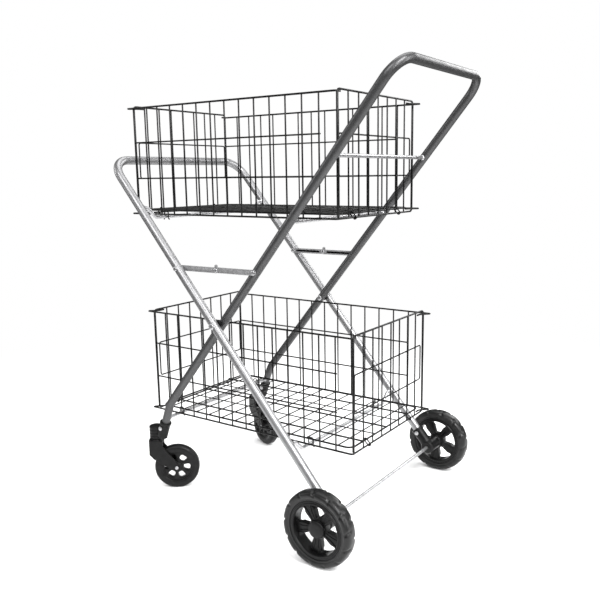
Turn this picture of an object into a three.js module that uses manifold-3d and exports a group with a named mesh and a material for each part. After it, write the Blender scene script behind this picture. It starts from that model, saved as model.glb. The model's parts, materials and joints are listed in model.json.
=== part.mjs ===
// Folding shopping trolley: two crossed tube frames, two wire baskets, two rear wheels, two front casters.
// Millimetres. +X points to the rear (the handle), +Y to the right-hand side, +Z up.
// The trolley is drawn with the frames' pivot above the origin, then moved so that the origin is on the
// ground below the middle of its length and width.
import * as THREE from 'three';
import { mergeVertices } from 'three/addons/utils/BufferGeometryUtils.js';
import Module from 'manifold-3d';

const wasm = await Module();
wasm.setup();

// ---- driving dimensions ----
const PIVOT_HEIGHT = 430;
const HANDLE_LEG_ANGLE = THREE.MathUtils.degToRad(50.6); // slope of the handle frame's legs from level
const WHEEL_LEG_ANGLE = THREE.MathUtils.degToRad(49.8);
const TUBE_RADIUS = 9.5;
const TUBE_WALL = 1.5;
const BEND_RADIUS = 50;
const INNER_LEG_Y = 191.5; // handle frame legs, tube centre
const OUTER_LEG_Y = 218.5; // wheel frame legs, tube centre
const HANDLE_REACH = 665; // pivot to the handle bar, along the leg
const CROSSBAR_REACH = 460.5; // pivot to the front crossbar, along the leg
const LOWER_BEND_REACH = 272; // pivot to the bend above the casters, along the leg
const LOWER_LEG_ANGLE = THREE.MathUtils.degToRad(69);
const AXLE_HEIGHT = 77;
const ROD_RADIUS = 4;
const GAP = 0.3;

const BASKET_LENGTH = 557;
const BASKET_WIDTH = 325;
const BASKET_HEIGHT = 247;
const UPPER_BASKET = { front: -281.5, bottom: 659 };
const LOWER_BASKET = { front: -248.5, bottom: 188 };
const WIRE = 3;
const FRAME_WIRE = 4;
const POST_WIRE = 5;
const SIDE_WIRES = 13;
const END_WIRES = 7;
const FLOOR_LONG_WIRES = 5;
const CORNER_TIP = 20; // how far a long wall's top and bottom wires stick out past one end

const REAR_WHEEL = { radius: 77, width: 32, y: 273 };
const CASTER = { radius: 53, width: 22, trail: 47 };
const CASTER_REST_TURN = { left: THREE.MathUtils.degToRad(38), right: THREE.MathUtils.degToRad(-20) };
const SWIVEL_X = -226;
const STAY = { reach: 153, width: 12, thickness: 3 };

const AXLE_X = (PIVOT_HEIGHT - AXLE_HEIGHT) / Math.tan(WHEEL_LEG_ANGLE);

// ---- materials ----
const metal = (color, roughness) => new THREE.MeshStandardMaterial({ color, roughness, metalness: 0.8 });
const darkPaint = metal(0x5c5d60, 0.45);
const lightPaint = metal(0x8d8e92, 0.35);
const zinc = metal(0xb9bbbe, 0.3);
const blackWire = new THREE.MeshStandardMaterial({ color: 0x17181a, roughness: 0.4, metalness: 0.3 });
const blackPlastic = new THREE.MeshStandardMaterial({ color: 0x1c1d1f, roughness: 0.55, metalness: 0 });
const rubber = new THREE.MeshStandardMaterial({ color: 0x2a2b2d, roughness: 0.85, metalness: 0 });

// ---- solids ----
function toSolid(geometry) {
  const bare = geometry.index ? geometry.toNonIndexed() : geometry.clone();
  bare.deleteAttribute('normal');
  bare.deleteAttribute('uv');
  const merged = mergeVertices(bare, 1e-4);
  const vertProperties = new Float32Array(merged.attributes.position.array);
  const triVerts = new Uint32Array(merged.index.array);
  return new wasm.Manifold(new wasm.Mesh({ numProp: 3, vertProperties, triVerts }));
}

function toGeometry(solid) {
  const mesh = solid.getMesh();
  const geometry = new THREE.BufferGeometry();
  geometry.setAttribute('position', new THREE.BufferAttribute(new Float32Array(mesh.vertProperties), 3));
  geometry.setIndex(new THREE.BufferAttribute(new Uint32Array(mesh.triVerts), 1));
  geometry.computeVertexNormals();
  return geometry;
}

const join = (geometries) => toGeometry(geometries.map(toSolid).reduce((a, b) => a.add(b)));

const cut = (geometry, tools) => toGeometry(
  tools.reduce((rest, tool) => rest.subtract(toSolid(tool)), toSolid(geometry)));

// a polygon with the given corner count, centred on the origin
const circle = (radius, corners, turn = 0) => Array.from({ length: corners }, (_, i) => {
  const angle = turn + (2 * Math.PI * i) / corners;
  return new THREE.Vector2(radius * Math.cos(angle), radius * Math.sin(angle));
});

function plate(outline, holes, thickness) {
  const shape = new THREE.Shape(outline);
  shape.holes = holes.map((points) => new THREE.Path(points));
  return new THREE.ExtrudeGeometry(shape, { depth: thickness, bevelEnabled: false });
}

// a round bar along Y between two heights on that axis
const bar = (radius, low, high, corners = 16) => {
  const geometry = new THREE.CylinderGeometry(radius, radius, high - low, corners);
  return geometry.translate(0, (low + high) / 2, 0);
};

// a path of straight lengths with round bends: it holds only the stations that the shape needs
class BentPath extends THREE.Curve {
  constructor(corners, bendRadius, bendSteps) {
    super();
    this.stations = [];
    corners.forEach((corner, i) => {
      if (i === 0 || i === corners.length - 1) {
        const [from, to] = i === 0 ? [corner, corners[1]] : [corners[i - 1], corner];
        this.stations.push([corner, to.clone().sub(from).normalize()]);
        return;
      }
      const incoming = corner.clone().sub(corners[i - 1]).normalize();
      const outgoing = corners[i + 1].clone().sub(corner).normalize();
      const turn = incoming.angleTo(outgoing);
      const setback = bendRadius * Math.tan(turn / 2);
      const start = corner.clone().addScaledVector(incoming, -setback);
      const inward = outgoing.clone().addScaledVector(incoming, -Math.cos(turn)).normalize();
      for (let step = 0; step <= bendSteps; step += 1) {
        const angle = (turn * step) / bendSteps;
        const point = start.clone()
          .addScaledVector(incoming, bendRadius * Math.sin(angle))
          .addScaledVector(inward, bendRadius * (1 - Math.cos(angle)));
        const tangent = incoming.clone().multiplyScalar(Math.cos(angle))
          .addScaledVector(inward, Math.sin(angle));
        this.stations.push([point, tangent.normalize()]);
      }
    });
  }

  station(u) {
    return this.stations[Math.round(u * (this.stations.length - 1))];
  }

  getPointAt(u) {
    return this.station(u)[0].clone();
  }

  getTangentAt(u) {
    return this.station(u)[1].clone();
  }
}

function bentBar(corners, { radius, wall = 0, bend, bendSteps, sides, boreSides = 8 }) {
  const path = new BentPath(corners, bend, bendSteps);
  const shape = new THREE.Shape(circle(radius, sides));
  if (wall > 0) {
    shape.holes = [new THREE.Path(circle(radius - wall, boreSides))];
  }
  const steps = path.stations.length - 1;
  return new THREE.ExtrudeGeometry(shape, { steps, extrudePath: path, bevelEnabled: false });
}

// ---- places in the side view ----
const alongHandleLeg = (reach) => new THREE.Vector3(
  reach * Math.cos(HANDLE_LEG_ANGLE), 0, PIVOT_HEIGHT + reach * Math.sin(HANDLE_LEG_ANGLE));
const alongWheelLeg = (reach) => new THREE.Vector3(
  -reach * Math.cos(WHEEL_LEG_ANGLE), 0, PIVOT_HEIGHT + reach * Math.sin(WHEEL_LEG_ANGLE));
const atY = (point, y) => new THREE.Vector3(point.x, y, point.z);
const handleLegAt = (z) => alongHandleLeg((z - PIVOT_HEIGHT) / Math.sin(HANDLE_LEG_ANGLE));
const wheelLegAt = (z) => alongWheelLeg((z - PIVOT_HEIGHT) / Math.sin(WHEEL_LEG_ANGLE));

const LOWER_BEND = alongHandleLeg(-LOWER_BEND_REACH);
const lowerLegAt = (z) => new THREE.Vector3(
  LOWER_BEND.x - (LOWER_BEND.z - z) / Math.tan(LOWER_LEG_ANGLE), 0, z);

// ---- the assembly ----
const trolley = new THREE.Group();

function add(name, geometry, material, parent = trolley) {
  const mesh = new THREE.Mesh(geometry, material);
  mesh.name = name;
  parent.add(mesh);
  return mesh;
}

const sides = [['left', -1], ['right', 1]];

// a rivet along Y with a domed head at each end; outward is the side that its outer head faces
function rivet(inner, outer, { shank, head }, outward) {
  const dome = head * 0.4;
  const profile = [
    [0, inner - dome], [head * 0.7, inner - dome * 0.7], [head, inner], [shank, inner],
    [shank, outer], [head, outer], [head * 0.7, outer + dome * 0.7], [0, outer + dome],
  ].map(([r, y]) => new THREE.Vector2(r, y));
  const geometry = new THREE.LatheGeometry(profile, 10);
  return outward < 0 ? geometry.rotateX(Math.PI) : geometry;
}

// ---- wheel frame: outer U tube, its rods, the axle and its brackets ----
const TUBE = { radius: TUBE_RADIUS, wall: TUBE_WALL, bend: BEND_RADIUS, bendSteps: 4, sides: 12 };
const PIN = { shank: 3, hole: 3.3, head: 6.5 };
const RIVET = { shank: 2.5, hole: 2.8, head: 5 };
const BOLT = { shank: 3, hole: 3.3, head: 5.5 };
const CUTTER = 400; // half the length of a cutter that passes through the whole object
const across = (point, radius) => bar(radius, -CUTTER, CUTTER, 12).translate(point.x, 0, point.z);
const PIVOT = new THREE.Vector3(0, 0, PIVOT_HEIGHT);
const STAY_FRONT = alongWheelLeg(STAY.reach);
const STAY_REAR = alongHandleLeg(STAY.reach);
const UPPER_ROD_Z = UPPER_BASKET.bottom - FRAME_WIRE / 2 - GAP - ROD_RADIUS;
const LOWER_ROD_Z = LOWER_BASKET.bottom - FRAME_WIRE / 2 - GAP - ROD_RADIUS;
const BRACKET = { radius: 14, reach: 405, bossRadius: 16, bossGap: 21, legEnd: 438, rivetReach: 420 };
const CRANK = { rise: 22, outerY: 199, innerY: 174, bend: 9 }; // the stepped ends of a cranked rod
const SPACER_RADIUS = 9;
const BACK_REST_HEIGHT = 779;

function wheelFrameTube() {
  const top = alongWheelLeg(CROSSBAR_REACH);
  const end = alongWheelLeg(-BRACKET.legEnd);
  const y = OUTER_LEG_Y;
  const tube = bentBar([atY(end, -y), atY(top, -y), atY(top, y), atY(end, y)], TUBE);
  return cut(tube, [
    across(PIVOT, PIN.hole),
    across(STAY_FRONT, RIVET.hole),
    across(alongWheelLeg(-BRACKET.rivetReach), RIVET.hole),
  ]);
}

// a rod between the outer legs that is cranked down so that its middle passes under a basket
function crankedRod(legHeight, middleHeight, x) {
  const corners = [];
  for (const [, s] of sides) {
    const half = [
      new THREE.Vector3(x, s * (OUTER_LEG_Y - TUBE_RADIUS - GAP), legHeight),
      new THREE.Vector3(x, s * CRANK.outerY, legHeight),
      new THREE.Vector3(x, s * CRANK.innerY, middleHeight),
    ];
    corners.push(...(s < 0 ? half : half.reverse()));
  }
  return bentBar(corners, { radius: ROD_RADIUS, bend: CRANK.bend, bendSteps: 2, sides: 8 });
}

const straightRod = (point, halfLength) => bar(ROD_RADIUS, -halfLength, halfLength, 10)
  .translate(point.x, 0, point.z);

// the cutter for the socket that a leg stands in: it rises from the origin
const legBore = (tilt) => new THREE.CylinderGeometry(TUBE_RADIUS + GAP, TUBE_RADIUS + GAP, CUTTER, 16)
  .rotateX(Math.PI / 2).translate(0, 0, CUTTER / 2).rotateY(tilt);

// a moulded sleeve round the lower end of the leg, with a boss for the axle
function axleBracket(s) {
  const from = alongWheelLeg(-BRACKET.reach);
  const to = new THREE.Vector3(AXLE_X, 0, AXLE_HEIGHT);
  const length = from.distanceTo(to);
  const tilt = Math.atan2(from.x - to.x, from.z - to.z);
  const sleeve = new THREE.CylinderGeometry(BRACKET.radius, BRACKET.radius, length, 16)
    .rotateX(Math.PI / 2).rotateY(tilt)
    .translate((from.x + to.x) / 2, OUTER_LEG_Y, (from.z + to.z) / 2);
  const boss = bar(BRACKET.bossRadius, OUTER_LEG_Y - BRACKET.radius, REAR_WHEEL.y - BRACKET.bossGap, 20)
    .translate(AXLE_X, 0, AXLE_HEIGHT);
  const bore = legBore(tilt);
  const legEnd = alongWheelLeg(-BRACKET.legEnd - GAP);
  bore.translate(legEnd.x, OUTER_LEG_Y, legEnd.z);
  const solid = cut(join([sleeve, boss]), [
    bore,
    across(to, ROD_RADIUS + GAP),
    across(alongWheelLeg(-BRACKET.rivetReach), RIVET.hole),
  ]);
  return s < 0 ? mirrored(solid) : solid;
}

// the same shape on the other side of the plane Y = 0
function mirrored(geometry) {
  const copy = geometry.toNonIndexed();
  const position = copy.attributes.position;
  for (let i = 0; i < position.count; i += 3) {
    const corners = [0, 2, 1].map((k) => new THREE.Vector3().fromBufferAttribute(position, i + k));
    corners.forEach((corner, k) => position.setXYZ(i + k, corner.x, -corner.y, corner.z));
  }
  copy.computeVertexNormals();
  return copy;
}

function addWheelFrame() {
  add('wheel_frame_tube', wheelFrameTube(), lightPaint);
  const upperLegHeight = UPPER_ROD_Z + CRANK.rise;
  const upperX = wheelLegAt(upperLegHeight).x;
  add('upper_front_rod', crankedRod(upperLegHeight, UPPER_ROD_Z, upperX), zinc);
  const lowerLegHeight = LOWER_ROD_Z + CRANK.rise;
  const lowerX = wheelLegAt(lowerLegHeight).x;
  add('lower_rear_rod', crankedRod(lowerLegHeight, LOWER_ROD_Z, lowerX), zinc);
  const axleHalf = REAR_WHEEL.y + HUB.outer + AXLE_OVERHANG;
  const axle = bar(ROD_RADIUS, -axleHalf, axleHalf, 12);
  add('rear_axle', axle.translate(AXLE_X, 0, AXLE_HEIGHT), zinc);
  const outerFace = OUTER_LEG_Y + TUBE_RADIUS;
  const innerFace = OUTER_LEG_Y - TUBE_RADIUS;
  const legInner = INNER_LEG_Y - TUBE_RADIUS;
  const legOuter = INNER_LEG_Y + TUBE_RADIUS;
  const bracketRivet = alongWheelLeg(-BRACKET.rivetReach);
  for (const [side, s] of sides) {
    add(`axle_bracket_${side}`, axleBracket(s), blackPlastic);
    const inner = OUTER_LEG_Y - BRACKET.radius - GAP;
    const outer = OUTER_LEG_Y + BRACKET.radius + GAP;
    const pin = rivet(inner, outer, RIVET, s).translate(bracketRivet.x, 0, bracketRivet.z);
    add(`bracket_rivet_${side}`, pin, zinc);
    const pivot = rivet(legInner - GAP, outerFace + GAP, PIN, s).translate(0, 0, PIVOT_HEIGHT);
    add(`frame_pivot_pin_${side}`, pivot, zinc);
    const ring = bar(SPACER_RADIUS, legOuter + GAP, innerFace - GAP, 16);
    const spacer = cut(ring, [bar(PIN.hole, 0, CUTTER, 12)]).translate(0, 0, PIVOT_HEIGHT);
    add(`pivot_spacer_${side}`, s < 0 ? mirrored(spacer) : spacer, blackPlastic);
    const stayInner = legOuter + 2 * GAP + STAY.thickness;
    const stayPin = rivet(stayInner, outerFace + GAP, RIVET, s)
      .translate(STAY_FRONT.x, 0, STAY_FRONT.z);
    add(`stay_pivot_rivet_${side}`, stayPin, zinc);
  }
}

// ---- handle frame: inner U tube, its rods and the caster sockets ----
const SOCKET = { top: 172, bottom: 134, radius: 13.5, rivetZ: 158, webLength: 30, webWidth: 16, webInset: 3 };
const BARREL = { top: 157, bottom: 127, radius: 16 };
const LEG_END_Z = 138;

function handleFrameTube() {
  const top = alongHandleLeg(HANDLE_REACH);
  const end = lowerLegAt(LEG_END_Z);
  const y = INNER_LEG_Y;
  const half = (s) => [atY(end, s * y), atY(LOWER_BEND, s * y), atY(top, s * y)];
  const tube = bentBar([...half(-1), ...half(1).reverse()], TUBE);
  return cut(tube, [across(PIVOT, PIN.hole), across(lowerLegAt(SOCKET.rivetZ), RIVET.hole)]);
}

// a moulded socket: a slanting sleeve on the leg, a barrel for the caster stem in front, and a web between
function casterSocket(s) {
  const tilt = Math.PI / 2 - LOWER_LEG_ANGLE;
  const middle = lowerLegAt((SOCKET.top + SOCKET.bottom) / 2);
  const length = (SOCKET.top - SOCKET.bottom) / Math.cos(tilt);
  const sleeve = new THREE.CylinderGeometry(SOCKET.radius, SOCKET.radius, length, 16)
    .rotateX(Math.PI / 2).rotateY(tilt).translate(middle.x, 0, middle.z);
  const barrelHeight = BARREL.top - BARREL.bottom;
  const barrel = new THREE.CylinderGeometry(BARREL.radius, BARREL.radius, barrelHeight, 20)
    .rotateX(Math.PI / 2).translate(SWIVEL_X, 0, BARREL.bottom + barrelHeight / 2);
  const web = new THREE.BoxGeometry(SOCKET.webLength, SOCKET.webWidth, barrelHeight - 2 * SOCKET.webInset)
    .translate((SWIVEL_X + middle.x) / 2, 0, BARREL.bottom + barrelHeight / 2);
  const bore = legBore(tilt);
  const end = lowerLegAt(LEG_END_Z - GAP);
  bore.translate(end.x, 0, end.z);
  const stemHole = new THREE.CylinderGeometry(STEM.radius + GAP, STEM.radius + GAP, STEM.length, 12)
    .rotateX(Math.PI / 2).translate(SWIVEL_X, 0, STEM.base + STEM.length / 2 + GAP);
  const rivetHole = across(lowerLegAt(SOCKET.rivetZ), RIVET.hole);
  return cut(join([sleeve, barrel, web]), [bore, stemHole, rivetHole]).translate(0, s * INNER_LEG_Y, 0);
}

function addHandleFrame() {
  add('handle_frame_tube', handleFrameTube(), darkPaint);
  const halfLength = INNER_LEG_Y - TUBE_RADIUS - GAP;
  const backRest = handleLegAt(BACK_REST_HEIGHT);
  add('back_rest_rod', straightRod(backRest, halfLength), zinc);
  add('upper_rear_rod', straightRod(handleLegAt(UPPER_ROD_Z), halfLength), zinc);
  add('lower_front_rod', straightRod(lowerLegAt(LOWER_ROD_Z), halfLength), zinc);
  const place = lowerLegAt(SOCKET.rivetZ);
  for (const [side, s] of sides) {
    add(`caster_socket_${side}`, casterSocket(s), blackPlastic);
    const reach = SOCKET.radius + GAP;
    const pin = rivet(INNER_LEG_Y - reach, INNER_LEG_Y + reach, RIVET, s);
    add(`socket_rivet_${side}`, pin.translate(place.x, 0, place.z), zinc);
  }
}

// ---- folding stays: two flat links a side between the legs, straight when the trolley is open ----
function stayLink(length, y) {
  const radius = STAY.width / 2;
  const end = (centre, from) => circle(radius, 12, from).slice(0, 7)
    .map((p) => new THREE.Vector2(p.x + centre, p.y));
  const outline = [...end(length, -Math.PI / 2), ...end(0, Math.PI / 2)];
  const holes = [0, length].map((x) => circle(RIVET.hole, 10).map((p) => new THREE.Vector2(p.x + x, p.y)));
  return plate(outline, holes, STAY.thickness).rotateX(Math.PI / 2).translate(0, y + STAY.thickness, 0);
}

function addStays() {
  const span = STAY_REAR.clone().sub(STAY_FRONT);
  const length = span.length() / 2;
  const tilt = -Math.atan2(span.z, span.x);
  const knee = STAY_FRONT.clone().add(STAY_REAR).multiplyScalar(0.5);
  const rearY = INNER_LEG_Y + TUBE_RADIUS + GAP;
  const frontY = rearY + STAY.thickness + GAP;
  const outer = frontY + STAY.thickness + GAP;
  for (const [side, s] of sides) {
    const place = (y) => (s < 0 ? -y - STAY.thickness : y);
    const front = stayLink(length, place(frontY)).rotateY(tilt).translate(STAY_FRONT.x, 0, STAY_FRONT.z);
    add(`front_stay_${side}`, front, zinc);
    const rear = stayLink(length, place(rearY)).rotateY(tilt).translate(knee.x, 0, knee.z);
    add(`rear_stay_${side}`, rear, zinc);
    const kneeRivet = rivet(rearY - GAP, outer, RIVET, s).translate(knee.x, 0, knee.z);
    add(`stay_knee_rivet_${side}`, kneeRivet, zinc);
    const dome = RIVET.head * 0.4;
    const stud = [[0, rearY], [RIVET.shank, rearY], [RIVET.shank, frontY], [RIVET.head, frontY],
      [RIVET.head * 0.7, frontY + dome * 0.7], [0, frontY + dome]].map(([r, y]) => new THREE.Vector2(r, y));
    const end = new THREE.LatheGeometry(stud, 10);
    add(`stay_end_rivet_${side}`, (s < 0 ? end.rotateX(Math.PI) : end)
      .translate(STAY_REAR.x, 0, STAY_REAR.z), zinc);
  }
}

// ---- rear wheels: spoked wheel, tyre and hub cap ----
const SPOKES = 5;
const TYRE_SEAT = 59;
const DISC_THICKNESS = 18;
const HUB = { radius: 17, inner: -20, outer: 4 }; // inner and outer are measured from the wheel's middle
const HUB_CAP = { radius: 18, height: 8.2 };
const AXLE_HOLE = 4.4;
const AXLE_OVERHANG = 4; // how far the axle stands out of the hub

// the window after a spoke, between two radii; its half-angle grows from narrow to wide
function spokeWindow(index, { inner, outer, narrow, wide }) {
  const middle = (2 * Math.PI * index) / SPOKES + Math.PI / 2;
  const point = (radius, angle) => new THREE.Vector2(
    radius * Math.cos(middle + angle), radius * Math.sin(middle + angle));
  return [point(inner, -narrow), point(outer, -wide), point(outer * 1.03, 0), point(outer, wide),
    point(inner, narrow)];
}

function rearWheel() {
  const sizes = { inner: 21, outer: 48, narrow: 0.3, wide: 0.42 };
  const windows = Array.from({ length: SPOKES }, (_, i) => spokeWindow(i, sizes));
  const disc = plate(circle(TYRE_SEAT, 28), windows, DISC_THICKNESS).rotateX(Math.PI / 2)
    .translate(0, HUB.outer, 0);
  const hub = bar(HUB.radius, HUB.inner, HUB.outer, 20);
  return cut(join([disc, hub]), [bar(AXLE_HOLE, -CUTTER, CUTTER, 16)]);
}

function rearTyre() {
  const half = REAR_WHEEL.width / 2;
  const profile = [
    [TYRE_SEAT + GAP, -half + 2], [67, -half], [72, -half + 2], [REAR_WHEEL.radius, -half + 8],
    [REAR_WHEEL.radius, half - 8], [72, half - 2], [67, half], [TYRE_SEAT + GAP, half - 2],
    [TYRE_SEAT + GAP, -half + 2],
  ].map(([r, y]) => new THREE.Vector2(r, y));
  return new THREE.LatheGeometry(profile, 28);
}

// a cup over the end of the axle, open towards the wheel
function hubCap() {
  const base = HUB.outer + GAP;
  const { radius, height } = HUB_CAP;
  const profile = [
    [0, base + height - 3], [radius - 3.5, base + height - 5], [radius - 2.5, base], [radius, base],
    [radius, base + height - 4], [radius - 4.5, base + height - 1], [0, base + height],
  ].map(([r, y]) => new THREE.Vector2(r, y));
  return new THREE.LatheGeometry(profile, 20);
}

function addRearWheels() {
  for (const [side, s] of sides) {
    const wheel = new THREE.Group();
    wheel.position.set(AXLE_X, s * REAR_WHEEL.y, AXLE_HEIGHT);
    wheel.rotation.set(s < 0 ? Math.PI : 0, 0, 0);
    trolley.add(wheel);
    add(`rear_wheel_${side}`, rearWheel(), blackPlastic, wheel);
    add(`rear_tyre_${side}`, rearTyre(), rubber, wheel);
    add(`hub_cap_${side}`, hubCap(), blackPlastic, wheel);
  }
}

// ---- front casters, drawn with the swivel axis on Z and the wheel trailing towards +X ----
const FORK = { top: 126, bridge: 14, inside: CASTER.width / 2 + 1.5, thickness: 4, radius: 16 };
const STEM = { radius: 5, base: 116.5, length: 40 };
const CASTER_HUB_RADIUS = 10;
const CASTER_WEB = { radius: 40, thickness: 12 };

function casterFork() {
  const hub = new THREE.Vector2(CASTER.trail, CASTER.radius);
  const cap = circle(15, 16, -Math.PI / 2).slice(0, 8).map((p) => p.add(hub));
  const outline = [new THREE.Vector2(-FORK.radius, FORK.top - 4), new THREE.Vector2(-FORK.radius, 88),
    new THREE.Vector2(-6, 76), new THREE.Vector2(36, 42), ...cap, new THREE.Vector2(FORK.radius, 104),
    new THREE.Vector2(FORK.radius, FORK.top - 4)];
  const arms = [-FORK.inside - FORK.thickness, FORK.inside].map((y) => plate(outline, [], FORK.thickness)
    .rotateX(Math.PI / 2).translate(0, y + FORK.thickness, 0));
  const crown = new THREE.CylinderGeometry(FORK.radius, FORK.radius, FORK.bridge, 20).rotateX(Math.PI / 2)
    .translate(0, 0, FORK.top - FORK.bridge / 2);
  const stemHole = new THREE.CylinderGeometry(STEM.radius + GAP, STEM.radius + GAP, CUTTER, 12)
    .rotateX(Math.PI / 2).translate(0, 0, STEM.base - GAP + CUTTER / 2);
  const boltHole = bar(BOLT.hole, -CUTTER, CUTTER, 12).translate(hub.x, 0, hub.y);
  return cut(join([...arms, crown]), [stemHole, boltHole]);
}

const CASTER_HOLES = 6;
const CASTER_HOLE = { middle: 22.5, radial: 7.5, around: 8 }; // its half-axes, and where its middle is

function casterWheel() {
  const oval = (i) => {
    const middle = (2 * Math.PI * i) / CASTER_HOLES;
    return circle(1, 8).map((p) => {
      const [radial, around] = [CASTER_HOLE.middle + CASTER_HOLE.radial * p.x, CASTER_HOLE.around * p.y];
      return new THREE.Vector2(radial * Math.cos(middle) - around * Math.sin(middle),
        radial * Math.sin(middle) + around * Math.cos(middle));
    });
  };
  const half = CASTER.width / 2;
  const holes = Array.from({ length: CASTER_HOLES }, (_, i) => oval(i));
  const web = plate(circle(CASTER_WEB.radius, 24), holes, CASTER_WEB.thickness).rotateX(Math.PI / 2)
    .translate(0, CASTER_WEB.thickness / 2, 0);
  const rimProfile = [[37, -half], [49, -half], [CASTER.radius, -half + 4], [CASTER.radius, half - 4],
    [49, half], [37, half], [37, -half]].map(([r, y]) => new THREE.Vector2(r, y));
  const rim = new THREE.LatheGeometry(rimProfile, 24);
  const hub = bar(CASTER_HUB_RADIUS, -half, half, 16);
  return cut(join([web, rim, hub]), [bar(BOLT.hole, -CUTTER, CUTTER, 12)]);
}

function addCasters() {
  for (const [side, s] of sides) {
    const caster = new THREE.Group();
    caster.position.set(SWIVEL_X, s * INNER_LEG_Y, 0);
    caster.rotation.set(0, 0, CASTER_REST_TURN[side]);
    trolley.add(caster);
    add(`caster_fork_${side}`, casterFork(), blackPlastic, caster);
    const stem = new THREE.CylinderGeometry(STEM.radius, STEM.radius, STEM.length, 12).rotateX(Math.PI / 2)
      .translate(0, 0, STEM.base + STEM.length / 2);
    add(`caster_stem_${side}`, stem, zinc, caster);
    const wheel = casterWheel().translate(CASTER.trail, 0, CASTER.radius);
    add(`caster_wheel_${side}`, wheel, blackPlastic, caster);
    const reach = FORK.inside + FORK.thickness + GAP;
    const bolt = rivet(-reach, reach, BOLT, 1).translate(CASTER.trail, 0, CASTER.radius);
    add(`caster_bolt_${side}`, bolt, zinc, caster);
  }
}

// ---- baskets: each is a floor, two long walls and two end walls of welded wire ----
// wires across a panel: the first and last are its edges, and the rest are evenly spaced between them
function wireLines(length, count, edge) {
  const pitch = length / (count + 1);
  const inner = Array.from({ length: count }, (_, i) => [(i + 1) * pitch, WIRE]);
  return [[edge / 2, edge], ...inner, [length - edge / 2, edge]];
}

function block(left, low, right, high, thickness) {
  const geometry = new THREE.BoxGeometry(right - left, high - low, thickness);
  return geometry.translate((left + right) / 2, (low + high) / 2, thickness / 2);
}

// a flat lattice: a plate from (0, 0) with one hole for each opening between its wires
function lattice(width, height, columns, rows, tips = []) {
  const holes = [];
  for (let i = 0; i + 1 < columns.length; i += 1) {
    for (let j = 0; j + 1 < rows.length; j += 1) {
      const left = columns[i][0] + columns[i][1] / 2;
      const right = columns[i + 1][0] - columns[i + 1][1] / 2;
      const low = rows[j][0] + rows[j][1] / 2;
      const high = rows[j + 1][0] - rows[j + 1][1] / 2;
      holes.push(block(left, low, right, high, 3 * FRAME_WIRE));
    }
  }
  return cut(join([block(0, 0, width, height, FRAME_WIRE), ...tips]), holes);
}

// its top and bottom wires stick out past one end wall, as the tips that hook the basket together:
// the left-hand wall's past the front and the right-hand wall's past the rear
function longWall(s) {
  const [l, h, w] = [BASKET_LENGTH, BASKET_HEIGHT, FRAME_WIRE];
  const [from, to] = s < 0 ? [-CORNER_TIP, l] : [0, l + CORNER_TIP];
  const tips = [block(from, 0, to, w, w), block(from, h - w, to, h, w)];
  const rows = wireLines(h, 2, FRAME_WIRE);
  return lattice(l, h, wireLines(l, SIDE_WIRES, POST_WIRE), rows, tips);
}

const INNER_WIDTH = BASKET_WIDTH - 2 * FRAME_WIRE - 2 * GAP;

const endWall = () => lattice(INNER_WIDTH, BASKET_HEIGHT, wireLines(INNER_WIDTH, END_WIRES, POST_WIRE),
  wireLines(BASKET_HEIGHT, 2, FRAME_WIRE));

function basketFloor() {
  const length = BASKET_LENGTH - 2 * FRAME_WIRE - 2 * GAP;
  return lattice(length, INNER_WIDTH, wireLines(length, SIDE_WIRES, FRAME_WIRE),
    wireLines(INNER_WIDTH, FLOOR_LONG_WIRES, FRAME_WIRE));
}

function addBasket(name, { front, bottom }) {
  const basket = new THREE.Group();
  basket.position.set(front, 0, bottom - FRAME_WIRE / 2);
  trolley.add(basket);
  const wallY = BASKET_WIDTH / 2;
  for (const [side, s] of sides) {
    const wall = longWall(s).rotateX(Math.PI / 2).translate(0, s < 0 ? -wallY + FRAME_WIRE : wallY, 0);
    add(`${name}_${side}_wall`, wall, blackWire, basket);
  }
  const ends = [['front', 0], ['rear', BASKET_LENGTH - FRAME_WIRE]];
  for (const [end, x] of ends) {
    const wall = endWall().rotateX(Math.PI / 2).rotateZ(Math.PI / 2);
    add(`${name}_${end}_wall`, wall.translate(x, -INNER_WIDTH / 2, 0), blackWire, basket);
  }
  const floor = basketFloor().translate(FRAME_WIRE + GAP, -INNER_WIDTH / 2, FRAME_WIRE + GAP);
  add(`${name}_floor`, floor, blackWire, basket);
}

addWheelFrame();
addHandleFrame();
addStays();
addRearWheels();
addCasters();
addBasket('upper_basket', UPPER_BASKET);
addBasket('lower_basket', LOWER_BASKET);

// the origin goes below the middle of the length
const box = new THREE.Box3().setFromObject(trolley);
trolley.position.x = -(box.min.x + box.max.x) / 2;

export default trolley;
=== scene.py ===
# The looks of the folding shopping trolley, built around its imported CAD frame.
# Shapes are worked out in millimetres and become metres when a piece is made.
import json
import math

import bmesh
import bpy
from mathutils import Matrix, Vector


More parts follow.
